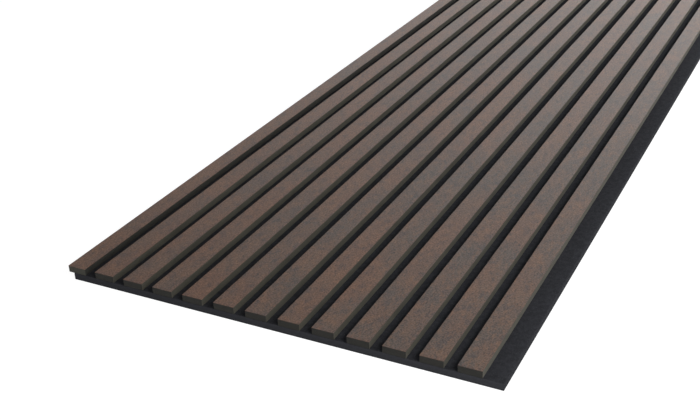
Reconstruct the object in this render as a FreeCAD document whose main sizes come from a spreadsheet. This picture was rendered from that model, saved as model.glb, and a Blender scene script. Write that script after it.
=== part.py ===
# Acoustic slat wall panel: laminated fibreboard slats stapled to a sheet of black polyester felt.
# The first slat stands out past the felt and the last one leaves a bare felt lip beside it, so
# that a row of panels laps edge over edge and the slats keep one even gap across every joint.
#
# The panel lies on its back. +X runs across the slats, from the overhang to the lip, +Y runs
# along the slats and +Z points out of the wall. The origin is the middle of the underside of
# the whole panel's box. All sizes are in millimetres.

import FreeCAD, Part
import os
import Sketcher

OUT_FOLDER = "parts"

# The driving dimensions. Each one can be set by itself.
SIZES = {
    "panel_length": 2400.0,
    "slat_count": 13,
    "slat_width": 29.5,
    "first_slat_width": 27.6,
    "gap_width": 16.8,
    "core_thickness": 9.0,
    "face_thickness": 0.5,
    "face_arris": 0.25,
    "felt_thickness": 10.0,
    "overhang": 8.2,
    "staple_rows": 7,
    "staple_end_margin": 75.0,
    "staple_crown": 10.6,
    "staple_bite": 4.4,
    "staple_sink": 0.4,
    "wire_width": 1.25,
    "wire_thickness": 0.6,
}

# Places across the panel. A cover is what one panel adds to a row: a slat and a gap, repeated.
PITCH = "(Sizes.slat_width + Sizes.gap_width)"
COVER = f"(Sizes.first_slat_width + Sizes.gap_width + (Sizes.slat_count - 1) * {PITCH})"
LEFT = f"(-(Sizes.overhang + {COVER}) / 2)"
FELT_LEFT = f"({LEFT} + Sizes.overhang)"
FELT_RIGHT = f"({FELT_LEFT} + {COVER})"
SECOND_SLAT_LEFT = f"({LEFT} + Sizes.first_slat_width + Sizes.gap_width)"

# Each slat is stapled along one line. It is the slat's middle, except on the first slat, where
# it is the middle of what rests on the felt.
FIRST_SLAT_SEAT = "(Sizes.first_slat_width - Sizes.overhang)"
FIRST_STAPLE_LINE = f"({FELT_LEFT} + {FIRST_SLAT_SEAT} / 2)"
SECOND_STAPLE_LINE = f"({SECOND_SLAT_LEFT} + Sizes.slat_width / 2)"

# Places along a staple line. The first staple straddles FIRST_ROW with its two legs.
STAPLE_RUN = "(Sizes.panel_length - 2 * Sizes.staple_end_margin)"
FIRST_ROW = f"(-{STAPLE_RUN} / 2)"
NEAR_OUTSIDE = f"({FIRST_ROW} - Sizes.staple_crown / 2)"
NEAR_INSIDE = f"({NEAR_OUTSIDE} + Sizes.wire_thickness)"
FAR_OUTSIDE = f"({FIRST_ROW} + Sizes.staple_crown / 2)"
FAR_INSIDE = f"({FAR_OUTSIDE} - Sizes.wire_thickness)"

# Heights above the wall. A leg ends in a chisel point, long on its inside.
CROWN_TOP = "(Sizes.staple_sink + Sizes.wire_thickness)"
CORE_TOP = "(Sizes.felt_thickness + Sizes.core_thickness)"
BITE_INSIDE = "Sizes.staple_bite"
BITE_OUTSIDE = "(Sizes.staple_bite - Sizes.wire_thickness)"


def make_sheet(doc):
    """The spreadsheet that holds the driving dimensions, one named cell each."""
    sheet = doc.addObject("Spreadsheet::Sheet", "Sizes")
    for row, (alias, value) in enumerate(SIZES.items(), start=1):
        sheet.set(f"A{row}", alias)
        sheet.set(f"B{row}", str(value))
        sheet.setAlias(f"B{row}", alias)
    doc.recompute()


def add_body(doc, label, across="0", above="0"):
    """An empty body whose own origin stands at x = across and z = above."""
    body = doc.addObject("PartDesign::Body", label)
    body.Label = label
    body.setExpression(".Placement.Base.x", across)
    body.setExpression(".Placement.Base.z", above)
    return body


def origin_item(body, role):
    """One of the planes or axes at the body's own origin, found by its role."""
    return next(item for item in body.Origin.OriginFeatures if item.Role == role)


def add_sketch(body, name, plane, outlines, shift="0"):
    """A sketch of closed outlines on one of the body's planes, moved by shift along its normal.

    An outline is a list of corners, and a corner is a pair of formulas.
    """
    sketch = body.newObject("Sketcher::SketchObject", name)
    sketch.AttachmentSupport = [(origin_item(body, plane), "")]
    sketch.MapMode = "FlatFace"
    sketch.setExpression(".AttachmentOffset.Base.z", shift)
    for corners in outlines:
        draw_outline(sketch, corners)
    return sketch


def draw_outline(sketch, corners):
    """Draws one closed outline and ties each of its corners to its two formulas."""
    spots = [[float(sketch.evalExpression(formula)) for formula in corner] for corner in corners]
    first = sketch.GeometryCount
    for i, spot in enumerate(spots):
        start = FreeCAD.Vector(*spots[i - 1], 0)
        end = FreeCAD.Vector(*spot, 0)
        sketch.addGeometry(Part.LineSegment(start, end), False)
    for i, (corner, spot) in enumerate(zip(corners, spots)):
        line = first + i
        following = first + (i + 1) % len(corners)
        sketch.addConstraint(Sketcher.Constraint("Coincident", line, 2, following, 1))
        tie(sketch, "DistanceX", line, spot[0], corner[0])
        tie(sketch, "DistanceY", line, spot[1], corner[1])


def tie(sketch, kind, line, value, formula):
    """Keeps the end of a line at a formula's distance from the sketch's origin."""
    index = sketch.addConstraint(Sketcher.Constraint(kind, -1, 1, line, 2, value))
    sketch.setExpression(f"Constraints[{index}]", formula)


def extrude(body, kind, name, sketch, length):
    """A pad or a pocket that runs half of length to each side of its sketch."""
    feature = body.newObject(f"PartDesign::{kind}", name)
    feature.Profile = sketch
    feature.SideType = "Symmetric"
    feature.setExpression("Length", length)
    body.Tip = feature
    return feature


def repeat_in_rows(body, name, feature, lines=None):
    """Repeats a feature once for each staple row, and over so many staple lines if asked."""
    pattern = body.newObject("PartDesign::LinearPattern", name)
    pattern.Originals = [feature]
    pattern.Direction = (origin_item(body, "Y_Axis"), [""])
    pattern.setExpression("Length", STAPLE_RUN)
    pattern.setExpression("Occurrences", "Sizes.staple_rows")
    if lines:
        pattern.Direction2 = (origin_item(body, "X_Axis"), [""])
        pattern.setExpression("Length2", f"({lines} - 1) * {PITCH}")
        pattern.setExpression("Occurrences2", lines)
    body.Tip = pattern


def box_outline(left, right, bottom, top):
    """The corners of an upright rectangle."""
    return [(left, bottom), (right, bottom), (right, top), (left, top)]


def staple_outline():
    """A staple seen along X: the crown, and two legs with chisel points."""
    tip_inside = f"(Sizes.felt_thickness + {BITE_INSIDE})"
    tip_outside = f"(Sizes.felt_thickness + {BITE_OUTSIDE})"
    return [
        (NEAR_OUTSIDE, "Sizes.staple_sink"),
        (FAR_OUTSIDE, "Sizes.staple_sink"),
        (FAR_OUTSIDE, tip_outside),
        (FAR_INSIDE, tip_inside),
        (FAR_INSIDE, CROWN_TOP),
        (NEAR_INSIDE, CROWN_TOP),
        (NEAR_INSIDE, tip_inside),
        (NEAR_OUTSIDE, tip_outside),
    ]


def felt_slot_outline():
    """What a staple presses out of the felt: its own form, open to the wall below the crown."""
    return [
        (NEAR_OUTSIDE, "0"),
        (FAR_OUTSIDE, "0"),
        (FAR_OUTSIDE, "Sizes.felt_thickness"),
        (FAR_INSIDE, "Sizes.felt_thickness"),
        (FAR_INSIDE, CROWN_TOP),
        (NEAR_INSIDE, CROWN_TOP),
        (NEAR_INSIDE, "Sizes.felt_thickness"),
        (NEAR_OUTSIDE, "Sizes.felt_thickness"),
    ]


def leg_hole_outline(outside, inside):
    """What one leg cuts in a core, from the core's underside to the leg's point."""
    return [(outside, "0"), (inside, "0"), (inside, BITE_INSIDE), (outside, BITE_OUTSIDE)]


def add_felt(doc):
    """The felt that carries the slats, slotted where the staples pass through it."""
    body = add_body(doc, "felt_back")
    sheet_outline = box_outline(FELT_LEFT, FELT_RIGHT, "0", "Sizes.felt_thickness")
    profile = add_sketch(body, "FeltProfile", "XZ_Plane", [sheet_outline])
    extrude(body, "Pad", "FeltSheet", profile, "Sizes.panel_length")
    add_at_staples(body, "Pocket", "Slot", felt_slot_outline())
    return body


def add_staples(doc):
    """All the staples, one solid each, driven from the back through the felt into the cores."""
    body = add_body(doc, "staples")
    body.AllowCompound = True
    add_at_staples(body, "Pad", "Staple", staple_outline())
    return body


def add_at_staples(body, kind, name, outline):
    """Puts a pad or pocket of wire width at every staple, the first slat's line by itself."""
    first = add_sketch(body, f"First{name}Outline", "YZ_Plane", [outline], FIRST_STAPLE_LINE)
    single = extrude(body, kind, f"First{name}", first, "Sizes.wire_width")
    repeat_in_rows(body, f"First{name}Rows", single)
    second = add_sketch(body, f"{name}Outline", "YZ_Plane", [outline], SECOND_STAPLE_LINE)
    single = extrude(body, kind, name, second, "Sizes.wire_width")
    repeat_in_rows(body, f"{name}Grid", single, "(Sizes.slat_count - 1)")


def add_core(doc, label, staple_line, left, right):
    """A fibreboard core over its staple line, with blind holes where the legs bite in."""
    body = add_body(doc, label, staple_line, "Sizes.felt_thickness")
    section = box_outline(left, right, "0", "Sizes.core_thickness")
    profile = add_sketch(body, f"{label}_profile", "XZ_Plane", [section])
    extrude(body, "Pad", f"{label}_board", profile, "Sizes.panel_length")
    near = leg_hole_outline(NEAR_OUTSIDE, NEAR_INSIDE)
    far = leg_hole_outline(FAR_OUTSIDE, FAR_INSIDE)
    holes = add_sketch(body, f"{label}_leg_outline", "YZ_Plane", [near, far])
    pair = extrude(body, "Pocket", f"{label}_leg_holes", holes, "Sizes.wire_width")
    repeat_in_rows(body, f"{label}_leg_rows", pair)
    return body


def add_face(doc, label, staple_line, left, right):
    """The decor laminate on a core, its two long edges eased to a small arris."""
    body = add_body(doc, label, staple_line, CORE_TOP)
    shoulder = "(Sizes.face_thickness - Sizes.face_arris)"
    section = [
        (left, "0"),
        (right, "0"),
        (right, shoulder),
        (f"({right} - Sizes.face_arris)", "Sizes.face_thickness"),
        (f"({left} + Sizes.face_arris)", "Sizes.face_thickness"),
        (left, shoulder),
    ]
    profile = add_sketch(body, f"{label}_profile", "XZ_Plane", [section])
    extrude(body, "Pad", f"{label}_sheet", profile, "Sizes.panel_length")
    return body


def slat_place(number):
    """A slat's staple line, and its left and right edges measured from that line."""
    if number == 1:
        left = f"(-Sizes.overhang - {FIRST_SLAT_SEAT} / 2)"
        return FIRST_STAPLE_LINE, left, f"({FIRST_SLAT_SEAT} / 2)"
    line = f"({SECOND_STAPLE_LINE} + {number - 2} * {PITCH})"
    return line, "(-Sizes.slat_width / 2)", "(Sizes.slat_width / 2)"


def check_document(doc):
    """Stops at a failed feature, and at a pocket that has cut nothing."""
    for item in doc.Objects:
        if "Invalid" in item.State or "Error" in item.State:
            raise RuntimeError(f"{item.Name} failed: {item.State}")
        if item.TypeId == "PartDesign::Pocket":
            before = item.BaseFeature.Shape.Volume
            if item.Shape.Volume >= before:
                raise RuntimeError(f"{item.Name} cuts nothing")


def check_body(body, solids):
    """Stops at a body that is empty, broken or not made of the expected number of solids."""
    shape = body.Shape
    if shape.isNull() or not shape.isValid():
        raise RuntimeError(f"{body.Label} has no valid shape")
    if len(shape.Solids) != solids:
        raise RuntimeError(f"{body.Label} has {len(shape.Solids)} solids, not {solids}")


def main():
    doc = FreeCAD.newDocument("SlatPanel")
    make_sheet(doc)
    slat_count = SIZES["slat_count"]
    single_pieces = [add_felt(doc)]
    for number in range(1, slat_count + 1):
        place = slat_place(number)
        single_pieces.append(add_core(doc, f"slat_{number:02d}_core", *place))
        single_pieces.append(add_face(doc, f"slat_{number:02d}_face", *place))
    staples = add_staples(doc)
    doc.recompute()

    check_document(doc)
    for body in single_pieces:
        check_body(body, 1)
    check_body(staples, slat_count * SIZES["staple_rows"])

    os.makedirs(OUT_FOLDER, exist_ok=True)
    for body in [*single_pieces, staples]:
        body.Shape.exportStep(f"{OUT_FOLDER}/{body.Label}.step")
        box = body.Shape.BoundBox
        print(
            f"{body.Label}: {len(body.Shape.Solids)} solid(s), {body.Shape.Volume:.1f} mm3, "
            f"x {box.XMin:.2f} to {box.XMax:.2f}, z {box.ZMin:.2f} to {box.ZMax:.2f}"
        )


main()
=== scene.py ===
# %% [markdown]
# # An acoustic slat wall panel
# The panel is thirteen laminated fibreboard slats on a sheet of black felt. It lies on its back,
# with the slats running along Y, and the first slat stands out past the felt on the left. The
# measured solids come first, because every piece that follows takes its size from them.

# %% Load the measured solids
import math

import bpy
import numpy as np
from mathutils import Matrix, Vector


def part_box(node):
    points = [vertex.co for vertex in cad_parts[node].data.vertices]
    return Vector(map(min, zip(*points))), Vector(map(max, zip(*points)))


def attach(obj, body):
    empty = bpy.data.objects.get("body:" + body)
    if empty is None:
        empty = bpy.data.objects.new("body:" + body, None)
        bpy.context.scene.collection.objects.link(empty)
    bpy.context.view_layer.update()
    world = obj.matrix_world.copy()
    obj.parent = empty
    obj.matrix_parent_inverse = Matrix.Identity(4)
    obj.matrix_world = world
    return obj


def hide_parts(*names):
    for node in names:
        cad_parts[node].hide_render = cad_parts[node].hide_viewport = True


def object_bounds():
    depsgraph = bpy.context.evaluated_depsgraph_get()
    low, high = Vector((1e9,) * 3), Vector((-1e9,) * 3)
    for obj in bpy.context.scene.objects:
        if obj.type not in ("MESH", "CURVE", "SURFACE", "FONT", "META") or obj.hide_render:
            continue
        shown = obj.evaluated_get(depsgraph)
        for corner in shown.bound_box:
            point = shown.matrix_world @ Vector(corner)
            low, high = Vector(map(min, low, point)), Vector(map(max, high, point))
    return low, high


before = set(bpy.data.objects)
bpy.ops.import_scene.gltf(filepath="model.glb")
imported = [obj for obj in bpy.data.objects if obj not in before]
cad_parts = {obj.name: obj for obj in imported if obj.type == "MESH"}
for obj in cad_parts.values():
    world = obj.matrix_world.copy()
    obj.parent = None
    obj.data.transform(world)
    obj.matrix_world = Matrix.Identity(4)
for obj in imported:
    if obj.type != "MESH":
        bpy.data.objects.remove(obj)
cad_low, cad_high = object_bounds()
print("solids", len(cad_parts), "box", [round(v, 4) for v in cad_high - cad_low])

# %% [markdown]
# ## The sizes that everything shares
# The width of a slat and the pitch from one slat to the next could be typed in. They are measured
# on the solids instead, so that the finish follows when the panel is made in another size.

# %% Shared sizes
MM = 0.001
SLAT_COUNT = sum(name.endswith("_core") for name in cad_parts)
SLATS = [f"slat_{number:02d}" for number in range(1, SLAT_COUNT + 1)]
felt_low, felt_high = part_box("felt_back")
staples_low, staples_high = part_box("staples")
slat_low, slat_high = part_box("slat_02_core")
last_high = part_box(f"{SLATS[-1]}_core")[1]
SLAT_WIDTH = slat_high.x - slat_low.x
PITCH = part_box("slat_03_core")[0].x - slat_low.x
print("slats", SLAT_COUNT)
print("pitch", round(PITCH / MM, 2), "mm, width", round(SLAT_WIDTH / MM, 2), "mm")

# %% [markdown]
# ## The camera
# The photograph looks along the slats from the right and above, with a slight tilt. The camera
# could be aimed at an empty with a constraint, but three plain angles are easier to read and to
# change, so the view is built from them: turn, look down, then tilt.

# %% Camera
CAMERA_PLACE = Vector((0.5955, -2.0867, 0.7161))
CAMERA_AZIMUTH = 28.024
CAMERA_ELEVATION = 27.704
CAMERA_TILT = -2.666
CAMERA_LENS = 53.825


def look(azimuth, elevation, tilt):
    """The turn of a camera that looks along +Y at azimuth 0, in degrees."""
    turn = Matrix.Rotation(math.radians(azimuth), 4, "Z")
    nod = Matrix.Rotation(math.radians(90 - elevation), 4, "X")
    roll = Matrix.Rotation(math.radians(tilt), 4, "Z")
    return turn @ nod @ roll


camera_data = bpy.data.cameras.new("photo_camera")
camera_data.lens = CAMERA_LENS
camera = bpy.data.objects.new("photo_camera", camera_data)
camera_turn = look(CAMERA_AZIMUTH, CAMERA_ELEVATION, CAMERA_TILT)
camera.matrix_world = Matrix.Translation(CAMERA_PLACE) @ camera_turn
bpy.context.collection.objects.link(camera)
bpy.context.scene.camera = camera
print("camera", [round(v, 3) for v in CAMERA_PLACE], "lens", CAMERA_LENS)

# %% [markdown]
# ## Building node trees
# Every material and every Geometry Nodes tree below is made of the same three steps: add a node,
# set its options, fill or link its inputs. One short helper does all three, so a tree reads from
# top to bottom like a recipe.

# %% Node helpers
def fill(tree, node, inputs):
    """Gives a node its inputs, each by name or number, as a value or as a socket to link."""
    for key, value in inputs.items():
        if isinstance(value, bpy.types.NodeSocket):
            tree.links.new(value, node.inputs[key])
        else:
            node.inputs[key].default_value = value
    return node


def add(tree, kind, inputs=None, **options):
    """Adds a node, sets its options, then fills its inputs."""
    node = tree.nodes.new(kind)
    for option, value in options.items():
        setattr(node, option, value)
    return fill(tree, node, inputs or {})


def calculate(tree, operation, *values):
    """A Math node on one, two or three values, and its result."""
    return add(tree, "ShaderNodeMath", dict(enumerate(values)), operation=operation).outputs[0]


def rescale(tree, value, low, high, new_low=0.0, new_high=1.0, **options):
    """Brings a value from one range to another, held between the new ends."""
    ranges = {"From Min": low, "From Max": high, "To Min": new_low, "To Max": new_high}
    return add(tree, "ShaderNodeMapRange", {"Value": value, **ranges}, **options).outputs[0]


def between(tree, share, first, second):
    """A number between two others: the first at a share of 0, the second at 1."""
    return add(tree, "ShaderNodeMix", {0: share, 2: first, 3: second}).outputs[0]


def combine(tree, **parts):
    """A vector of the parts that are given, and zero for the others."""
    return add(tree, "ShaderNodeCombineXYZ", parts).outputs[0]


def separate(tree, vector):
    """The X, Y and Z of a vector."""
    return add(tree, "ShaderNodeSeparateXYZ", {0: vector}).outputs


# %% [markdown]
# ## Node groups
# An effect that several finishes use is a node group with named sockets. It is built once and
# placed in each tree with its own values, as a printed recipe is cooked with other amounts.

# %% Group helpers
def new_tree(name, kind, inputs, outputs):
    """An empty node group with named sockets, and its two end nodes."""
    tree = bpy.data.node_groups.new(name, kind)
    for direction, sockets in (("INPUT", inputs), ("OUTPUT", outputs)):
        for socket_name, (socket_kind, value) in sockets.items():
            socket = tree.interface.new_socket(
                socket_name, in_out=direction, socket_type=f"NodeSocket{socket_kind}"
            )
            if value is not None:
                socket.default_value = value
    return tree, tree.nodes.new("NodeGroupInput"), tree.nodes.new("NodeGroupOutput")


def use_group(tree, group, inputs):
    """Places a shader node group in a tree and gives it its own values."""
    return fill(tree, add(tree, "ShaderNodeGroup", node_tree=group), inputs)


# %% [markdown]
# ## The floor
# The panel was pictured on white. A floor could be lit until it clips, but that would also bleach
# the panel. So the floor is white paper to the light, which keeps a faint shadow, and glows a
# little to the camera alone. It is clear from below, so that the felt's back can be looked at, and
# clear from close by, so that light from below reaches the back, which lies just above it.

# %% Floor
FLOOR_SIZE = 40.0
FLOOR_DROP = 0.2 * MM
FLOOR_NEAR = 10 * FLOOR_DROP
FLOOR_PAPER = (0.9, 0.9, 0.9, 1.0)
WHITE = (1.0, 1.0, 1.0, 1.0)
FLOOR_GLOW = 1.25
FLOOR_GLOW_SHARE = 0.75


def floor_material():
    """White paper that glows to the camera, and that nothing sees from below or from close by."""
    material = bpy.data.materials.new("floor")
    material.use_nodes = True
    tree = material.node_tree
    tree.nodes.clear()
    paper = add(tree, "ShaderNodeBsdfDiffuse", {"Color": FLOOR_PAPER})
    glow = add(tree, "ShaderNodeEmission", {"Color": WHITE, "Strength": FLOOR_GLOW})
    path = add(tree, "ShaderNodeLightPath").outputs
    share = calculate(tree, "MULTIPLY", path["Is Camera Ray"], FLOOR_GLOW_SHARE)
    white = add(tree, "ShaderNodeMixShader", {0: share, 1: paper.outputs[0], 2: glow.outputs[0]})
    below = add(tree, "ShaderNodeNewGeometry").outputs["Backfacing"]
    close = calculate(tree, "LESS_THAN", path["Ray Length"], FLOOR_NEAR)
    unseen = calculate(tree, "MAXIMUM", below, close)
    clear = add(tree, "ShaderNodeBsdfTransparent")
    both = add(tree, "ShaderNodeMixShader", {0: unseen, 1: white.outputs[0], 2: clear.outputs[0]})
    add(tree, "ShaderNodeOutputMaterial", {"Surface": both.outputs[0]})
    return material


half = FLOOR_SIZE / 2
around = ((-half, -half), (half, -half), (half, half), (-half, half))
corners = [(x, y, -FLOOR_DROP) for x, y in around]
floor_mesh = bpy.data.meshes.new("floor")
floor_mesh.from_pydata(corners, [], [(0, 1, 2, 3)])
floor_mesh.materials.append(floor_material())
floor = bpy.data.objects.new("floor", floor_mesh)
bpy.context.collection.objects.link(floor)
print("floor", FLOOR_SIZE, "m,", round(FLOOR_DROP / MM, 1), "mm under the panel")

# %% [markdown]
# ## The sky
# A plain white world would do for the diffuse light. But the slats' faces grow paler away from the
# viewer, and that comes from a bright low backdrop mirrored at a grazing angle. So mirrored rays
# see a sky that is bright near the horizon, dark overhead and stronger on the right.

# %% Sky
SKY_SEEN = 1.0
SKY_DIFFUSE = 0.28
SKY_MIRRORED = 2.35
SKY_LOW = 0.2
SKY_HIGH = 0.5
SKY_LEFT = -0.7
SKY_RIGHT = 0.1
SKY_LEFT_SHARE = 0.45
SKY_RIGHT_SHARE = 1.6

world = bpy.data.worlds.new("studio")
bpy.context.scene.world = world
world.use_nodes = True
tree = world.node_tree
tree.nodes.clear()
path = add(tree, "ShaderNodeLightPath").outputs
toward = separate(tree, add(tree, "ShaderNodeTexCoord").outputs["Generated"])
height_share = rescale(tree, toward["Z"], SKY_LOW, SKY_HIGH, SKY_MIRRORED, 0.0)
side_share = rescale(tree, toward["X"], SKY_LEFT, SKY_RIGHT, SKY_LEFT_SHARE, SKY_RIGHT_SHARE)
mirrored = calculate(tree, "MULTIPLY", height_share, side_share)
lit = between(tree, path["Is Glossy Ray"], SKY_DIFFUSE, mirrored)
seen = calculate(tree, "MAXIMUM", path["Is Camera Ray"], path["Is Transmission Ray"])
strength = between(tree, seen, lit, SKY_SEEN)
sky = add(tree, "ShaderNodeBackground", {"Color": WHITE, "Strength": strength})
add(tree, "ShaderNodeOutputWorld", {"Surface": sky.outputs[0]})
bpy.context.scene.view_settings.view_transform = "Standard"
print("sky: diffuse", SKY_DIFFUSE, "mirrored", SKY_MIRRORED)

# %% [markdown]
# ## The lamps
# The slats' right-hand sides are lit evenly from top to bottom, while the felt between them stays
# dark. Light from all round can't do that, because it fades towards the foot of a groove. A lamp
# on the right can, if it stands just high enough to reach the foot of each side: about 30 degrees,
# which is the groove's depth over its width. A weaker second lamp does the same from the front.
# The satin faces don't mirror the lamps, which would leave a white glare when seen from the left.
# A third lamp shines up through the floor, which is clear from below, and lights the felt's back.

# %% Lamps
LAMP_SIZE = 0.50
KEY_PLACE = Vector((1.3, 0.8, 0.90))
KEY_POWER = 26.5
FILL_PLACE = Vector((1.0, -1.5, 0.80))
FILL_POWER = 9.6
UNDER_PLACE = Vector((0.0, 0.0, -2.5))
UNDER_POWER = 30.0
LAMP_AIM = Vector((0, -0.5, 0))


def soft_lamp(name, place, power):
    """A square lamp that faces the near half, unseen by the camera and unmirrored by the faces."""
    data = bpy.data.lights.new(name, "AREA")
    data.size = LAMP_SIZE
    data.energy = power
    lamp = bpy.data.objects.new(name, data)
    aim = (place - LAMP_AIM).to_track_quat("Z", "Y").to_matrix().to_4x4()
    lamp.matrix_world = Matrix.Translation(place) @ aim
    lamp.visible_camera = False
    lamp.visible_glossy = False
    bpy.context.collection.objects.link(lamp)
    print(name, "lamp", power, "W at", [round(v, 2) for v in place])


soft_lamp("key", KEY_PLACE, KEY_POWER)
soft_lamp("fill", FILL_PLACE, FILL_POWER)
soft_lamp("under", UNDER_PLACE, UNDER_POWER)
for place in (KEY_PLACE, FILL_PLACE):
    steepness = math.degrees(math.atan2(place.z, place.x))
    print("seen along the slats, a lamp stands", round(steepness), "degrees up")

# %% [markdown]
# ## Speckle, the shared pattern
# Printed decor, raw fibreboard, felt and dull wire all have patches or specks of some size. Each
# could get its own noise, but one group does for all: a noise cut between two levels. Its scale
# sets the size of the specks and the two levels set how many there are and how sharp they are.

# %% Speckle group
SPECKLE_ROUGHNESS = 0.6


def speckle_group():
    """Soft patches or fine specks: a noise cut between two levels, stretched along the slat."""
    sockets = {
        "Vector": ("Vector", None),
        "Scale": ("Float", 100.0),
        "Stretch": ("Float", 1.0),
        "Detail": ("Float", 3.0),
        "Low": ("Float", 0.5),
        "High": ("Float", 0.7),
        "Seed": ("Float", 0.0),
    }
    tree, inputs, output = new_tree("speckle", "ShaderNodeTree", sockets, {"Mask": ("Float", None)})
    given = inputs.outputs
    stretch = combine(tree, X=1.0, Y=given["Stretch"], Z=1.0)
    laid = add(tree, "ShaderNodeVectorMath", {0: given["Vector"], 1: stretch}, operation="MULTIPLY")
    noise = add(tree, "ShaderNodeTexNoise", {"Vector": laid.outputs[0]}, noise_dimensions="4D")
    shape = {"W": given["Seed"], "Scale": given["Scale"], "Detail": given["Detail"]}
    fill(tree, noise, {**shape, "Roughness": SPECKLE_ROUGHNESS})
    cut = (given["Low"], given["High"])
    mask = rescale(tree, noise.outputs[0], *cut, interpolation_type="SMOOTHSTEP")
    tree.links.new(mask, output.inputs["Mask"])
    return tree


SPECKLE = speckle_group()
print("group", SPECKLE.name, "nodes", len(SPECKLE.nodes))


def speckle(tree, vector, scale, low, high, **more):
    """One layer of patches or specks as a mask from 0 to 1. More gives Seed, Stretch or Detail."""
    values = {"Vector": vector, "Scale": scale, "Low": low, "High": high, **more}
    return use_group(tree, SPECKLE, values).outputs["Mask"]


# %% [markdown]
# ## Facing, the second shared group
# A sawn end, a sanded side and a printed top are coloured differently, though they belong to one
# piece; the board's near-black ends are mostly painted shade. They could be separate materials, but
# a mask from the surface's own direction keeps each piece in one material and works on any shape.

# %% Facing group
FACING_FROM = 0.80
FACING_FULL = 0.97


def facing_group():
    """How far a surface is turned up, to the long side or to the sawn end, each from 0 to 1."""
    sockets = {name: ("Float", None) for name in ("Top", "Side", "End")}
    tree, _, output = new_tree("facing", "ShaderNodeTree", {}, sockets)
    parts = separate(tree, add(tree, "ShaderNodeNewGeometry").outputs["True Normal"])
    for name, axis in (("Top", "Z"), ("Side", "X"), ("End", "Y")):
        share = rescale(tree, calculate(tree, "ABSOLUTE", parts[axis]), FACING_FROM, FACING_FULL)
        tree.links.new(share, output.inputs[name])
    return tree


FACING = facing_group()
print("group", FACING.name, "nodes", len(FACING.nodes))

# %% [markdown]
# ## Colours and materials
# Each finish below is one Principled BSDF whose colour is built up in layers, as a maker would
# glaze a board: a ground colour, then tints that a mask lets through. Three helpers do the
# layering and the relief, and a fourth opens a new material.

# %% Colour and material helpers
def blend(tree, share, first, second):
    """Mixes two colours, given as tuples or sockets."""
    opaque = [(*value, 1) if isinstance(value, tuple) else value for value in (first, second)]
    mix = {0: share, 6: opaque[0], 7: opaque[1]}
    return add(tree, "ShaderNodeMix", mix, data_type="RGBA").outputs[2]


def tint(tree, share, colour, onto, strength):
    """Lays a colour over another where a mask is, at most by strength."""
    return blend(tree, calculate(tree, "MULTIPLY", share, strength), onto, colour)


def roughen(tree, shader, height, strength, depth):
    """Gives a surface a fine relief."""
    bump = {"Height": height, "Strength": strength, "Distance": depth}
    relief = add(tree, "ShaderNodeBump", bump).outputs[0]
    tree.links.new(relief, shader.inputs["Normal"])


def new_material(name, **values):
    """An empty material with one Principled BSDF, whose uniform values are given by name."""
    material = bpy.data.materials.new(name)
    material.use_nodes = True
    tree = material.node_tree
    shader = tree.nodes["Principled BSDF"]
    for key, value in values.items():
        shader.inputs[key.replace("_", " ")].default_value = value
    return material, tree, shader


# Each slot of the panel, and the material that it gets.
MATERIALS = {}

# %% [markdown]
# ## The decor laminate
# The slats' faces carry a printed laminate that looks like oxidised metal: rust-brown clouds, a
# mesh of blue-grey stains and fine specks of both. An image could be printed on, but layers of one
# noise, each finer than the last, give a print that never repeats. The layers read a coordinate
# that is stored in each slat, so that the print doesn't run on from one slat to the next. The
# brown is made cooler from left to right, by the slat's place on the panel.

# %% Decor colours
RUST = (0.228, 0.120, 0.068)
TAUPE_WARM = (0.166, 0.090, 0.061)
TAUPE_COOL = (0.104, 0.082, 0.071)
BLUE_GREY = (0.050, 0.050, 0.056)
DARK_SPECK = (0.035, 0.032, 0.033)
ORANGE_SPECK = (0.250, 0.125, 0.070)
CUT_EDGE = (0.110, 0.060, 0.045)
DECOR_LAYERS = (
    dict(scale=36.0, low=0.42, high=0.68, strength=0.30, tone=RUST),
    dict(scale=95.0, low=0.50, high=0.62, strength=0.43, tone=BLUE_GREY),
    dict(scale=190.0, low=0.50, high=0.60, strength=0.34, tone=RUST),
    dict(scale=300.0, low=0.52, high=0.62, strength=0.42, tone=DARK_SPECK),
    dict(scale=480.0, low=0.55, high=0.64, strength=0.28, tone=ORANGE_SPECK),
)
print("decor layers", len(DECOR_LAYERS))

# %% Decor laminate
DECOR_CLOUD = dict(scale=9.0, low=0.35, high=0.65, Seed=1.0, Stretch=0.6, Detail=4.0)
DECOR_GRAIN = dict(scale=460.0, low=0.40, high=0.60, Seed=7.0, Detail=5.0)
LAYER_SHAPE = dict(Stretch=0.55, Detail=5.0)
COOLER_FROM = -0.45
COOLER_TO = 0.55
GRAIN_DARK = 0.64
GRAIN_LIGHT = 1.34
GRAIN_RELIEF = 0.15
GRAIN_DEPTH = 0.1 * MM
EDGE_STRENGTH = 0.7
SATIN = 0.42
SATIN_ON_SPECKS = 0.52

decor, tree, shader = new_material("decor_laminate", Roughness=0.45)
print_place = add(tree, "ShaderNodeAttribute", attribute_name="pattern").outputs["Vector"]
cloud = speckle(tree, print_place, **DECOR_CLOUD)
x = separate(tree, add(tree, "ShaderNodeTexCoord").outputs["Object"])["X"]
cooler = rescale(tree, x, cad_low.x, cad_high.x, COOLER_FROM, COOLER_TO)
colour = blend(tree, calculate(tree, "ADD", cloud, cooler), TAUPE_WARM, TAUPE_COOL)
for number, layer in enumerate(DECOR_LAYERS, 2):
    cut = (layer["scale"], layer["low"], layer["high"])
    specks = speckle(tree, print_place, *cut, Seed=float(number), **LAYER_SHAPE)
    colour = tint(tree, specks, layer["tone"], colour, layer["strength"])
grain = speckle(tree, print_place, **DECOR_GRAIN)
grain_light = rescale(tree, grain, 0.0, 1.0, GRAIN_DARK, GRAIN_LIGHT)
grained = add(tree, "ShaderNodeVectorMath", {0: colour, "Scale": grain_light}, operation="SCALE")
turned = use_group(tree, FACING, {}).outputs
off_top = calculate(tree, "SUBTRACT", 1.0, turned["Top"])
colour = tint(tree, off_top, CUT_EDGE, grained.outputs[0], EDGE_STRENGTH)
tree.links.new(colour, shader.inputs["Base Color"])
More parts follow.
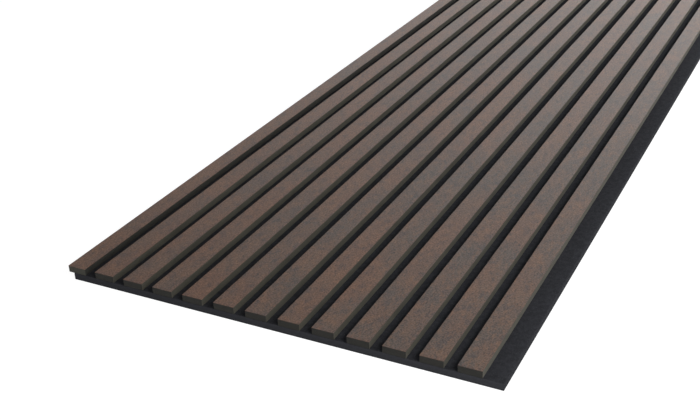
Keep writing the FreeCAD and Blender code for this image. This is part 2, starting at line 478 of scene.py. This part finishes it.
satin = rescale(tree, specks, 0.0, 1.0, SATIN, SATIN_ON_SPECKS)
tree.links.new(satin, shader.inputs["Roughness"])
roughen(tree, shader, grain, GRAIN_RELIEF, GRAIN_DEPTH)
MATERIALS["decor_face"] = decor
print("material", decor.name, "nodes", len(tree.nodes))

# %% [markdown]
# ## The fibreboard
# The cores are board that is dyed through, a dark olive-grey with pressed fibres, matt and a
# little dusty at a grazing angle, which the sheen gives. The sawn ends are painted nearly black:
# some of that is darker end grain, most of it is painted shade, as the lamps here light the ends
# more brightly than the real ends are lit. The first slat's side is made darker and its end
# lighter. A second material would do, but a mask from the slat's place on the panel is enough.

# %% Fibreboard
BOARD = (0.0500, 0.0470, 0.0365)
BOARD_DARK = (0.0385, 0.0365, 0.0283)
BOARD_FIBRE = (0.070, 0.065, 0.051)
# The sawn ends' near-black colour is mostly painted shade, with a little darker end grain.
BOARD_END_PAINTED_SHADE = (0.0040, 0.0038, 0.0029)
FIRST_SIDE = (0.0150, 0.0145, 0.0120)
FIRST_END = (0.064, 0.062, 0.048)
BOARD_DUST = (1.0, 0.95, 0.86, 1.0)
BOARD_CLOUD = dict(scale=90.0, low=0.35, high=0.65, Seed=11.0, Stretch=0.3, Detail=4.0)
BOARD_PRESSED = dict(scale=900.0, low=0.55, high=0.72, Seed=12.0, Stretch=0.35)
PRESSED_STRENGTH = 0.6
END_STRENGTH = 0.8
FIRST_SIDE_STRENGTH = 1.0
FIRST_END_STRENGTH = 0.9
BOARD_RELIEF = 0.4
BOARD_DEPTH = 0.2 * MM

board, tree, shader = new_material(
    "dyed_fibreboard", Roughness=0.8, Sheen_Weight=0.12, Sheen_Roughness=0.4, Sheen_Tint=BOARD_DUST
)
print_place = add(tree, "ShaderNodeAttribute", attribute_name="pattern").outputs["Vector"]
cloud = speckle(tree, print_place, **BOARD_CLOUD)
pressed = speckle(tree, print_place, **BOARD_PRESSED)
ground = blend(tree, cloud, BOARD, BOARD_DARK)
colour = tint(tree, pressed, BOARD_FIBRE, ground, PRESSED_STRENGTH)
turned = use_group(tree, FACING, {}).outputs
# Painted shade: the sawn ends are made nearly black, darker than their end grain alone would be.
colour = tint(tree, turned["End"], BOARD_END_PAINTED_SHADE, colour, END_STRENGTH)
x = separate(tree, add(tree, "ShaderNodeTexCoord").outputs["Object"])["X"]
first = calculate(tree, "LESS_THAN", x, slat_low.x)
first_side = calculate(tree, "MULTIPLY", first, turned["Side"])
first_end = calculate(tree, "MULTIPLY", first, turned["End"])
colour = tint(tree, first_side, FIRST_SIDE, colour, FIRST_SIDE_STRENGTH)
colour = tint(tree, first_end, FIRST_END, colour, FIRST_END_STRENGTH)
tree.links.new(colour, shader.inputs["Base Color"])
roughen(tree, shader, pressed, BOARD_RELIEF, BOARD_DEPTH)
MATERIALS["fibreboard_core"] = board
print("material", board.name, "nodes", len(tree.nodes))

# %% [markdown]
# ## The felt
# The backing is needled polyester felt, near black with a blue cast and cloudy where the fibres
# lie thicker. Its cut ends are made paler and its long sides darker, by a mask from the surface's
# direction. It has hardly any gloss, so the specular level is turned down instead of adding a
# sheen, which would make it look like velvet.

# %% Felt
FELT = (0.0325, 0.0335, 0.0385)
FELT_DARK = (0.0240, 0.0245, 0.0280)
FELT_FIBRE = (0.065, 0.067, 0.073)
FELT_CUT = (0.066, 0.067, 0.076)
FELT_CLOUD = dict(scale=170.0, low=0.35, high=0.65, Seed=21.0, Detail=6.0)
FELT_TIPS = dict(scale=700.0, low=0.52, high=0.72, Seed=22.0, Stretch=0.5, Detail=4.0)
TIPS_STRENGTH = 0.5
CUT_STRENGTH = 0.6
FELT_SIDE_STRENGTH = 0.7
FELT_RELIEF = 0.6
FELT_DEPTH = 0.4 * MM

cloth, tree, shader = new_material("needled_felt", Roughness=0.95, Specular_IOR_Level=0.06)
spot = add(tree, "ShaderNodeTexCoord").outputs["Object"]
cloud = speckle(tree, spot, **FELT_CLOUD)
tips = speckle(tree, spot, **FELT_TIPS)
ground = blend(tree, cloud, FELT, FELT_DARK)
colour = tint(tree, tips, FELT_FIBRE, ground, TIPS_STRENGTH)
turned = use_group(tree, FACING, {}).outputs
colour = tint(tree, turned["End"], FELT_CUT, colour, CUT_STRENGTH)
colour = tint(tree, turned["Side"], FELT_DARK, colour, FELT_SIDE_STRENGTH)
tree.links.new(colour, shader.inputs["Base Color"])
roughen(tree, shader, tips, FELT_RELIEF, FELT_DEPTH)
MATERIALS["felt"] = cloth
print("material", cloth.name, "nodes", len(tree.nodes))

# %% [markdown]
# ## The staple wire
# Staples are galvanised flat wire: metal, with dull patches where the zinc has weathered. Colour
# and roughness follow one mask, because on the real wire the dull patches are also the rough ones.

# %% Staple wire
ZINC = (0.62, 0.61, 0.60)
ZINC_DULL = (0.40, 0.39, 0.38)
DULL_PATCHES = dict(scale=800.0, low=0.4, high=0.7, Seed=31.0)
SMOOTH_WIRE = 0.28
ROUGH_WIRE = 0.5

wire, tree, shader = new_material("zinc_wire", Metallic=1.0)
spot = add(tree, "ShaderNodeTexCoord").outputs["Object"]
dull = speckle(tree, spot, **DULL_PATCHES)
tree.links.new(blend(tree, dull, ZINC, ZINC_DULL), shader.inputs["Base Color"])
worn = rescale(tree, dull, 0.0, 1.0, SMOOTH_WIRE, ROUGH_WIRE)
tree.links.new(worn, shader.inputs["Roughness"])
MATERIALS["staple_wire"] = wire
print("material", wire.name, "nodes", len(tree.nodes))

# %% [markdown]
# ## One tree for every slat
# A core is a planed strip and its face a thin strip glued on top, with the sharp edge just broken.
# Twenty-six boxes could be typed in, but they follow one rule: a rectangle swept along Y. The tree
# has the sizes as named inputs. It also gives each strip the slight sway of a sawn board, and
# stores the place of its print, shifted by the slat's own seed.

# %% A strip
ARRIS_STEPS = 3


def swept_strip(tree, size):
    """A rectangle with its two top corners broken, swept from the near end to the far end."""
    outline = add(
        tree, "GeometryNodeCurvePrimitiveQuadrilateral",
        {"Width": size["Width"], "Height": size["Height"]}, mode="RECTANGLE",
    )
    corner = separate(tree, add(tree, "GeometryNodeInputPosition").outputs[0])
    on_top = calculate(tree, "GREATER_THAN", corner["Y"], 0.0)
    radius = calculate(tree, "MULTIPLY", on_top, size["Arris"])
    corners = {"Count": ARRIS_STEPS, "Radius": radius, "Limit Radius": True}
    broken = add(
        tree, "GeometryNodeFilletCurve", {"Curve": outline.outputs[0], **corners}, mode="POLY"
    )
    ends = {"Start": combine(tree, Y=size["Near end"]), "End": combine(tree, Y=size["Far end"])}
    line = add(tree, "GeometryNodeCurvePrimitiveLine", ends).outputs[0]
    path = add(tree, "GeometryNodeResampleCurve", {"Curve": line, "Count": size["Stations"]})
    return add(
        tree, "GeometryNodeCurveToMesh",
        {"Curve": path.outputs[0], "Profile Curve": broken.outputs[0], "Fill Caps": True},
    ).outputs[0]


# %% Its sway and its print
WAVE = 0.08 * MM
WAVE_SCALE = 3.0


def swayed(tree, size, strip):
    """Moves the strip to its place and lets it sway a little from side to side on the way."""
    along = separate(tree, add(tree, "GeometryNodeInputPosition").outputs[0])["Y"]
    wave_at = combine(tree, X=size["Seed"], Y=along)
    shape = {"Vector": wave_at, "Scale": WAVE_SCALE, "Detail": 1.0}
    wave = add(tree, "ShaderNodeTexNoise", shape).outputs[0]
    centred = calculate(tree, "SUBTRACT", wave, 0.5)
    sway = calculate(tree, "MULTIPLY", centred, size["Wave"])
    middle = calculate(tree, "MULTIPLY_ADD", size["Width"], 0.5, size["Left"])
    up = calculate(tree, "MULTIPLY_ADD", size["Height"], 0.5, size["Low"])
    shift = combine(tree, X=calculate(tree, "ADD", middle, sway), Z=up)
    return add(tree, "GeometryNodeSetPosition", {"Geometry": strip, "Offset": shift}).outputs[0]


def printed(tree, size, strip):
    """Stores where each point takes its print from, shifted by the slat's own seed."""
    place = add(tree, "GeometryNodeInputPosition").outputs[0]
    shift = combine(tree, X=size["Seed"], Y=size["Seed"])
    print_at = add(tree, "ShaderNodeVectorMath", {0: place, 1: shift}, operation="ADD").outputs[0]
    return add(
        tree, "GeometryNodeStoreNamedAttribute",
        {"Geometry": strip, "Name": "pattern", "Value": print_at},
        data_type="FLOAT_VECTOR", domain="POINT",
    ).outputs[0]


# %% The slat tree
STATIONS = 160
MESH_OUT = {"Mesh": ("Geometry", None)}


def end_tree(tree, size, output, geometry):
    """Ends a tree: instances made real, and the material set."""
    real = add(tree, "GeometryNodeRealizeInstances", {0: geometry}).outputs[0]
    kept = add(tree, "GeometryNodeSetMaterial", {"Geometry": real, "Material": size["Material"]})
    tree.links.new(kept.outputs[0], output.inputs["Mesh"])
    return tree


def slat_tree():
    """A strip swept along Y, with an arris on its top edges and a slight wave along its length."""
    sizes = {
        "Width": ("Float", None),
        "Height": ("Float", None),
        "Low": ("Float", None),
        "Left": ("Float", None),
        "Near end": ("Float", None),
        "Far end": ("Float", None),
        "Arris": ("Float", None),
        "Wave": ("Float", WAVE),
        "Stations": ("Int", STATIONS),
        "Seed": ("Float", None),
        "Material": ("Material", None),
    }
    tree, inputs, output = new_tree("slat", "GeometryNodeTree", sizes, MESH_OUT)
    size = inputs.outputs
    strip = printed(tree, size, swayed(tree, size, swept_strip(tree, size)))
    flat = add(tree, "GeometryNodeSetShadeSmooth", {"Geometry": strip, "Shade Smooth": False})
    return end_tree(tree, size, output, flat.outputs[0])


strip_tree = slat_tree()
print("slat tree, nodes", len(strip_tree.nodes))

# %% [markdown]
# ## From a tree to a finished piece
# A tree is run once on a helper object and its result is kept as a plain mesh. The modifier could
# stay live, but a plain mesh is what the export needs and what the frame can measure. The finished
# piece then gets the material of its slot, rides on a body, and the solids it stands for are
# hidden.

# %% Growing and keeping a piece
def grow(name, tree, values, base=None):
    """Runs a Geometry Nodes tree once, on a base mesh if given, and keeps what it makes."""
    start = base.copy() if base else bpy.data.meshes.new(name + "_start")
    worker = bpy.data.objects.new(name + "_worker", start)
    bpy.context.collection.objects.link(worker)
    modifier = worker.modifiers.new("tree", "NODES")
    modifier.node_group = tree
    for item in tree.interface.items_tree:
        if item.item_type == "SOCKET" and item.in_out == "INPUT" and item.name in values:
            modifier[item.identifier] = values[item.name]
    evaluated = worker.evaluated_get(bpy.context.evaluated_depsgraph_get())
    mesh = bpy.data.meshes.new_from_object(evaluated)
    worker.modifiers.clear()
    bpy.data.objects.remove(worker)
    bpy.data.meshes.remove(start)
    mesh.name = name
    piece = bpy.data.objects.new(name, mesh)
    bpy.context.collection.objects.link(piece)
    return piece


def keep(piece, slot, *nodes):
    """Puts a finished piece in the frame in place of the solids it stands for."""
    piece.data.materials.clear()
    piece.data.materials.append(MATERIALS[slot])
    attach(piece, "root")
    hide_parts(*nodes)
    triangles = sum(len(face.vertices) - 2 for face in piece.data.polygons)
    print(piece.name, "slot", slot, "triangles", triangles)


# %% [markdown]
# ## The thirteen slats
# Each slat is cut to length on its own, so its ends stand back by a few tenths of a millimetre,
# drawn from a fixed seed. A strip is made narrower by its own sway, so that it stays inside the
# measured solid.

# %% Slats
SAW_SETBACK = 0.4 * MM
FACE_ARRIS = 0.25 * MM
SAW_SEED = 13
SEED_STEP = 7.3
LAYERS = (("core", "fibreboard_core", 0.0), ("face", "decor_face", FACE_ARRIS))

rng = np.random.default_rng(SAW_SEED)
for index, slat in enumerate(SLATS):
    setback = rng.uniform(0.0, SAW_SETBACK)
    for layer, slot, arris in LAYERS:
        low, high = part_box(f"{slat}_{layer}")
        values = {
            "Width": high.x - low.x - WAVE,
            "Height": high.z - low.z,
            "Low": low.z,
            "Left": low.x + WAVE / 2,
            "Near end": low.y + setback,
            "Far end": high.y - setback,
            "Arris": arris,
            "Seed": SEED_STEP * index,
            "Material": MATERIALS[slot],
        }
        piece = grow(f"{slat}_{layer}_finish", strip_tree, values)
        keep(piece, slot, f"{slat}_{layer}")

# %% [markdown]
# ## Where the staples go
# Seven rows of staples cross the thirteen slats from behind, one staple at each crossing. The felt
# needs these places before the staples do, because each staple pulls a dimple into it.

# %% Staple places
STAPLE_ROWS = 7
STAPLE_MARGIN = 75 * MM
WIRE_WIDTH = 1.25 * MM
WIRE_THICKNESS = 0.6 * MM
CROWN = 10.6 * MM

columns = [0.5 * sum(v.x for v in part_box(f"{slat}_core")) for slat in SLATS]
columns[0] = staples_low.x + WIRE_WIDTH / 2
rows = np.linspace(felt_low.y + STAPLE_MARGIN, felt_high.y - STAPLE_MARGIN, STAPLE_ROWS)
print("staples", len(columns) * len(rows), "first column at", round(columns[0] / MM, 1), "mm")

# %% [markdown]
# ## A grid for the felt
# The felt is one closed sheet: a grid on top, a grid below, joined round the rim. It could be a
# bevelled box with a fine subdivision, but then most faces would lie where nothing happens. So the
# grid's lines are even and wide apart, with close pairs only at the staples and at the rims.

# %% Felt grid
FELT_CELL = Vector((12 * MM, 20 * MM))
FELT_ROUND = 0.8 * MM
RIM_STEPS = (0.0, 0.3, 1.0)
LINE_CLEARANCE = 1.5 * MM
WIRE_REACH = WIRE_WIDTH / 2 + 0.3 * MM
CROWN_REACH = CROWN / 2 + 0.4 * MM
FADE_ACROSS = 3 * MM
FADE_ALONG = 8 * MM


def grid_lines(low, high, cell, marks, offsets):
    """Even lines from low to high, with closer ones on both sides of every mark."""
    even = np.linspace(low, high, int(round((high - low) / cell)) + 1)
    close = [mark + side * offset for mark in marks for offset in offsets for side in (-1, 1)]
    kept = [line for line in even[1:-1] if min(abs(line - c) for c in close) > LINE_CLEARANCE]
    insets = [step * FELT_ROUND for step in RIM_STEPS]
    rim = [edge for inset in insets for edge in (low + inset, high - inset)]
    return np.array(sorted(set(round(float(v), 6) for v in kept + close + rim)))


xs = grid_lines(felt_low.x, felt_high.x, FELT_CELL.x, columns, (WIRE_REACH, FADE_ACROSS))
ys = grid_lines(felt_low.y, felt_high.y, FELT_CELL.y, rows, (CROWN_REACH, FADE_ALONG))
print("felt lines across and along", len(xs), len(ys))

# %% [markdown]
# ## How thick the felt is
# Felt is soft: its cut rims are round, it swells up between two slats that press it down, and each
# staple pulls a dimple into its back. A sculpted mesh could show that, but each effect has a rule,
# so the top and the bottom of the sheet are calculated for every point of the grid.

# %% Felt heights
FELT_SWELL = 0.25 * MM
SWELL_ACROSS = 19.0
SWELL_ALONG = 11.0
SWELL_START = 3.0
DIMPLE_CLEARANCE = 0.1 * MM
ON_THE_LINE = 1.01


def rim_drop(x, y):
    """How far the felt falls away at its rims, where the cut edge is rounded."""
    edge = np.minimum.reduce([x - felt_low.x, felt_high.x - x, y - felt_low.y, felt_high.y - y])
    inset = np.clip(FELT_ROUND - edge, 0, FELT_ROUND)
    return edge, FELT_ROUND - np.sqrt(np.maximum(FELT_ROUND**2 - inset**2, 0))


def groove_swell(x, y):
    """How far the felt swells up between two slats that press it down."""
    gap = PITCH - SLAT_WIDTH
    past_slat = (x - slat_low.x) % PITCH - SLAT_WIDTH
    swell = np.sin(np.pi * np.clip(past_slat / gap, 0, 1)) * FELT_SWELL
    wave = np.sin(SWELL_ACROSS * x + SWELL_START) * np.sin(SWELL_ALONG * y)
    return swell * (0.5 + 0.5 * wave)


def staple_dimples(x, y):
    """How far each staple's crown has pulled into the felt's back."""
    dimple = np.zeros_like(x)
    for column in columns:
        for row in rows:
            beside = np.abs(x - column) < WIRE_REACH * ON_THE_LINE
            under = beside & (np.abs(y - row) < CROWN_REACH * ON_THE_LINE)
            dimple = np.where(under, staples_low.z + DIMPLE_CLEARANCE, dimple)
    return dimple


def felt_heights(x, y):
    """The felt's top and bottom at each grid point."""
    edge, drop = rim_drop(x, y)
    top = felt_high.z - drop + np.minimum(groove_swell(x, y), edge)
    return top, felt_low.z + np.maximum(drop, staple_dimples(x, y))


felt_x, felt_y = np.meshgrid(xs, ys, indexing="ij")
felt_top, felt_bottom = felt_heights(felt_x, felt_y)
print("felt top", round(felt_top.min() / MM, 2), "to", round(felt_top.max() / MM, 2), "mm")

# %% [markdown]
# ## The felt sheet
# The two grids now become one closed mesh. Four neighbours make a face on top and the same four,
# turned the other way, a face below, so that both face outwards. A row of faces closes the rim.

# %% Felt sheet
def felt_mesh():
    """A closed sheet: a top grid and a bottom grid, joined round their rims."""
    nx, ny = len(xs), len(ys)
    layers = [np.stack([felt_x, felt_y, z], -1).reshape(-1, 3) for z in (felt_top, felt_bottom)]
    points = np.concatenate(layers)
    count = nx * ny
    faces = []
    for i in range(nx - 1):
        for j in range(ny - 1):
            a = i * ny + j
            b = a + ny
            c = b + 1
            d = a + 1
            faces.append((a, b, c, d))
            faces.append((a + count, d + count, c + count, b + count))
    rim = [i * ny for i in range(nx)] + [(nx - 1) * ny + j for j in range(1, ny)]
    rim += [i * ny + ny - 1 for i in range(nx - 2, -1, -1)] + [j for j in range(ny - 2, 0, -1)]
    for a, b in zip(rim, rim[1:] + rim[:1]):
        faces.append((a, a + count, b + count, b))
    mesh = bpy.data.meshes.new("felt_sheet")
    mesh.from_pydata(points.tolist(), [], faces)
    mesh.shade_smooth()
    mesh.update()
    return mesh


felt = bpy.data.objects.new("felt_sheet", felt_mesh())
bpy.context.collection.objects.link(felt)
keep(felt, "felt", "felt_back")

# %% [markdown]
# ## Loose fibres
# Needled felt is fuzzy: short fibres lie on it and bend up a little. Hair would show them, but the
# export drops it, so they are real tubes. One fibre is swept along a short arc and scattered with
# a fixed seed. The scatter covers the whole top, and each point is then kept only where the slats
# leave the felt bare and where a fibre doesn't reach over the rim.

# %% One fibre, and where it may lie
FIBRE_LENGTH = 5 * MM
FIBRE_RADIUS = 0.035 * MM
FIBRE_LIFT = 0.08
FIBRE_BEND = 0.12
FIBRE_TILT = 0.05
FIBRE_SHORT = 0.5
FIBRE_LONG = 1.3
FIBRE_STEPS = 4
FIBRE_SIDES = 3
FIBRES_PER_SQUARE_METRE = 9000.0
FIBRE_SEED = 5
LEVEL_ENOUGH = 0.7
RIM_CLEARANCE = 0.2 * MM
FIBRE_MARGIN = FIBRE_LENGTH * FIBRE_LONG / 2 + RIM_CLEARANCE


def bare_share(tree, size):
    """1 where the felt lies bare and away from the rims, and 0 elsewhere."""
    place = separate(tree, add(tree, "GeometryNodeInputPosition").outputs[0])
    past_first = calculate(tree, "SUBTRACT", place["X"], size["First slat"])
    across = calculate(tree, "FLOORED_MODULO", past_first, size["Pitch"])
    in_groove = calculate(tree, "GREATER_THAN", across, size["Slat width"])
    on_lip = calculate(tree, "GREATER_THAN", place["X"], size["Last edge"])
    bare = calculate(tree, "MAXIMUM", in_groove, on_lip)
    inside_right = calculate(tree, "LESS_THAN", place["X"], size["Right limit"])
    from_middle = calculate(tree, "ABSOLUTE", place["Y"])
    inside_ends = calculate(tree, "LESS_THAN", from_middle, size["End limit"])
    inside = calculate(tree, "MULTIPLY", inside_right, inside_ends)
    return calculate(tree, "MULTIPLY", bare, inside)


def one_fibre(tree, size):
    """A thin tube on a short arc that rises a little in the middle."""
    length = size["Length"]
    middle = {
        "Y": calculate(tree, "MULTIPLY", length, FIBRE_BEND),
        "Z": calculate(tree, "MULTIPLY", length, FIBRE_LIFT),
    }
    arc = add(
        tree, "GeometryNodeCurveQuadraticBezier",
        {
            "Resolution": FIBRE_STEPS,
            "Start": combine(tree, X=calculate(tree, "MULTIPLY", length, -0.5)),
            "Middle": combine(tree, **middle),
            "End": combine(tree, X=calculate(tree, "MULTIPLY", length, 0.5)),
        },
    ).outputs[0]
    round_size = {"Resolution": FIBRE_SIDES, "Radius": size["Radius"]}
    section = add(tree, "GeometryNodeCurvePrimitiveCircle", round_size).outputs[0]
    return add(
        tree, "GeometryNodeCurveToMesh",
        {"Curve": arc, "Profile Curve": section, "Fill Caps": True},
    ).outputs[0]


# %% The fibre tree
# For each kind of value: the sockets of its low end, its high end and its result.
RANDOM_SOCKETS = {"FLOAT_VECTOR": (0, 1, 0), "FLOAT": (2, 3, 1)}


def random_value(tree, kind, low, high, seed):
    """A random value for each point. Each kind has sockets of its own on the node."""
    low_socket, high_socket, result = RANDOM_SOCKETS[kind]
    ends = {low_socket: low, high_socket: high, "Seed": seed}
    return add(tree, "FunctionNodeRandomValue", ends, data_type=kind).outputs[result]


def fibre_tree():
    """Scatters short bent fibres over the felt where the slats leave it bare."""
    sizes = {
        "Mesh": ("Geometry", None),
        "Density": ("Float", FIBRES_PER_SQUARE_METRE),
        "Length": ("Float", FIBRE_LENGTH),
        "Radius": ("Float", FIBRE_RADIUS),
        "First slat": ("Float", slat_low.x),
        "Slat width": ("Float", SLAT_WIDTH),
        "Pitch": ("Float", PITCH),
        "Last edge": ("Float", last_high.x),
        "Right limit": ("Float", felt_high.x - FIBRE_MARGIN),
        "End limit": ("Float", felt_high.y - FIBRE_MARGIN),
        "Seed": ("Int", FIBRE_SEED),
        "Material": ("Material", None),
    }
    tree, inputs, output = new_tree("fibres", "GeometryNodeTree", sizes, MESH_OUT)
    size = inputs.outputs
    normal = separate(tree, add(tree, "GeometryNodeInputNormal").outputs[0])
    up = calculate(tree, "GREATER_THAN", normal["Z"], LEVEL_ENOUGH)
    density = calculate(tree, "MULTIPLY", up, size["Density"])
    points = add(
        tree, "GeometryNodeDistributePointsOnFaces",
        {"Mesh": size["Mesh"], "Density": density, "Seed": size["Seed"]},
    ).outputs[0]
    least = (-FIBRE_TILT, -FIBRE_TILT, 0.0)
    most = (FIBRE_TILT, FIBRE_TILT, math.tau)
    spread = add(
        tree, "GeometryNodeInstanceOnPoints",
        {
            "Points": points,
            "Selection": bare_share(tree, size),
            "Instance": one_fibre(tree, size),
            "Rotation": random_value(tree, "FLOAT_VECTOR", least, most, size["Seed"]),
            "Scale": random_value(tree, "FLOAT", FIBRE_SHORT, FIBRE_LONG, size["Seed"]),
        },
    )
    return end_tree(tree, size, output, spread.outputs[0])


fuzz_tree = fibre_tree()
print("fibre tree, nodes", len(fuzz_tree.nodes))

# %% [markdown]
# ## Fibres on the felt
# The fibres belong to the felt: they are grown on its sheet and take its material. The felt is laid
# flat, so its size in the piece is also the size it was cut to.

# %% Fibres on the felt
fibres = grow("felt_fibres", fuzz_tree, {"Material": cloth}, base=felt.data)
keep(fibres, "felt")

# %% [markdown]
# ## The staples
# A staple is flat wire bent to a U. It could be a block with a block cut out, but wire swept round
# a bent path has the right corners. The tree sweeps one and sets it at every crossing of a slat
# and a row, turned by a hair's breadth as a hand-held stapler would turn it.

# %% One staple
STAPLE_BEND = 0.7 * MM
BEND_STEPS = 4


def one_staple(tree, size):
    """Flat wire swept round a U that opens upwards."""
    half_wire = calculate(tree, "MULTIPLY", size["Wire thickness"], 0.5)
    half_crown = calculate(tree, "MULTIPLY", size["Crown"], 0.5)
    reach = calculate(tree, "SUBTRACT", half_crown, half_wire)
    back = calculate(tree, "MULTIPLY", reach, -1.0)
    low = calculate(tree, "ADD", size["Low"], half_wire)
    turns = ((back, size["High"]), (back, low), (reach, low), (reach, size["High"]))
    corners = {f"Point {number}": combine(tree, Y=y, Z=z) for number, (y, z) in enumerate(turns, 1)}
    outline = add(tree, "GeometryNodeCurvePrimitiveQuadrilateral", corners, mode="POINTS")
    still_closed = {"Geometry": outline.outputs[0], "Cyclic": False}
    opened = add(tree, "GeometryNodeSetSplineCyclic", still_closed).outputs[0]
    bend = {"Count": BEND_STEPS, "Radius": size["Bend"], "Limit Radius": True}
    bent = add(tree, "GeometryNodeFilletCurve", {"Curve": opened, **bend}, mode="POLY")
    flat_wire = add(
        tree, "GeometryNodeCurvePrimitiveQuadrilateral",
        {"Width": size["Wire width"], "Height": size["Wire thickness"]}, mode="RECTANGLE",
    )
    return add(
        tree, "GeometryNodeCurveToMesh",
        {"Curve": bent.outputs[0], "Profile Curve": flat_wire.outputs[0], "Fill Caps": True},
    ).outputs[0]


# %% The staple tree
STAPLE_TURN = 0.02
STAPLE_SEED = 3


def crossings(tree, size):
    """A point where every column meets every row. The first column has a place of its own."""
    index = add(tree, "GeometryNodeInputIndex").outputs[0]
    column = calculate(tree, "FLOORED_MODULO", index, size["Columns"])
    row = calculate(tree, "FLOOR", calculate(tree, "DIVIDE", index, size["Columns"]))
    later = calculate(tree, "GREATER_THAN", column, 0.5)
    past_second = calculate(tree, "SUBTRACT", column, 1.0)
    step = calculate(tree, "MULTIPLY_ADD", past_second, size["Pitch"], size["Next column"])
    x = between(tree, later, size["First column"], step)
    y = calculate(tree, "MULTIPLY_ADD", row, size["Row gap"], size["First row"])
    total = calculate(tree, "MULTIPLY", size["Columns"], size["Rows"])
    return add(tree, "GeometryNodePoints", {"Count": total, "Position": combine(tree, X=x, Y=y)})


def staple_tree():
    """Sweeps flat wire round a U and sets one at every crossing of a column and a row."""
    sizes = {
        "Wire width": ("Float", WIRE_WIDTH),
        "Wire thickness": ("Float", WIRE_THICKNESS),
        "Crown": ("Float", CROWN),
        "Low": ("Float", None),
        "High": ("Float", None),
        "Bend": ("Float", STAPLE_BEND),
        "First column": ("Float", None),
        "Next column": ("Float", None),
        "Pitch": ("Float", PITCH),
        "Columns": ("Int", SLAT_COUNT),
        "First row": ("Float", None),
        "Row gap": ("Float", None),
        "Rows": ("Int", STAPLE_ROWS),
        "Seed": ("Int", STAPLE_SEED),
        "Material": ("Material", None),
    }
    tree, inputs, output = new_tree("staples", "GeometryNodeTree", sizes, MESH_OUT)
    size = inputs.outputs
    least = (0.0, 0.0, -STAPLE_TURN)
    most = (0.0, 0.0, STAPLE_TURN)
    shot = add(
        tree, "GeometryNodeInstanceOnPoints",
        {
            "Points": crossings(tree, size).outputs[0],
            "Instance": one_staple(tree, size),
            "Rotation": random_value(tree, "FLOAT_VECTOR", least, most, size["Seed"]),
        },
    )
    return end_tree(tree, size, output, shot.outputs[0])


shot_tree = staple_tree()
print("staple tree, nodes", len(shot_tree.nodes))

# %% [markdown]
# ## Shooting the staples
# The tree is given the places that the felt was dimpled at. The box of the staples is printed
# beside the solids' box, to see that they agree.

# %% Staples
values = {
    "Low": staples_low.z,
    "High": staples_high.z,
    "First column": columns[0],
    "Next column": columns[1],
    "First row": float(rows[0]),
    "Row gap": float(rows[1] - rows[0]),
    "Material": wire,
}
staples = grow("staples_finish", shot_tree, values)
keep(staples, "staple_wire", "staples")
shot_low, shot_high = staples.bound_box[0], staples.bound_box[6]
print("their box", [[round(c / MM, 2) for c in corner] for corner in (shot_low, shot_high)])
print("the solids'", [[round(c / MM, 2) for c in corner] for corner in (staples_low, staples_high)])
